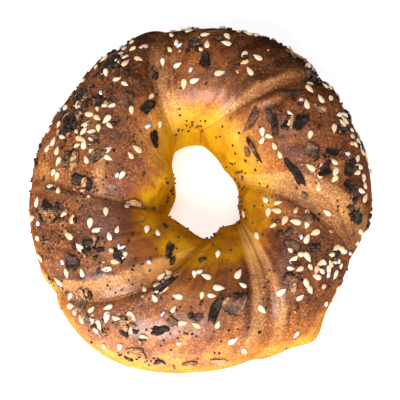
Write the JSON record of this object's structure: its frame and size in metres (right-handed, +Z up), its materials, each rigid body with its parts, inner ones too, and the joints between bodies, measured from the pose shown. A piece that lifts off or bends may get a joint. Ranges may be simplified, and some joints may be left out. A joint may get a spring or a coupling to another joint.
{
  "type": "bagel",
  "caption": "Round bread ring of twisted egg dough with a browned crust, paler creases and a topping of sesame, poppy, onion flakes and coarse salt. Rests flat, with a hole through its middle.",
  "frame": {"origin": "middle of the bagel's outline, on the surface that it stands on", "axes": "+Z up through the hole, -Y towards the viewer, +X to the viewer's right"},
  "size_m": [0.1115, 0.1158, 0.0368],
  "materials": {
    "crust": "egg-washed crust, browned on top and golden low down and in the hole",
    "sesame": "hulled sesame seeds, satin",
    "poppy": "poppy seeds, blue-black",
    "onion": "dried onion and garlic flakes, baked brown to black",
    "salt": "coarse salt crystals, white and part clear"
  },
  "bodies": {
    "root": {"bagel": "crust"}
  },
  "joints": []
}
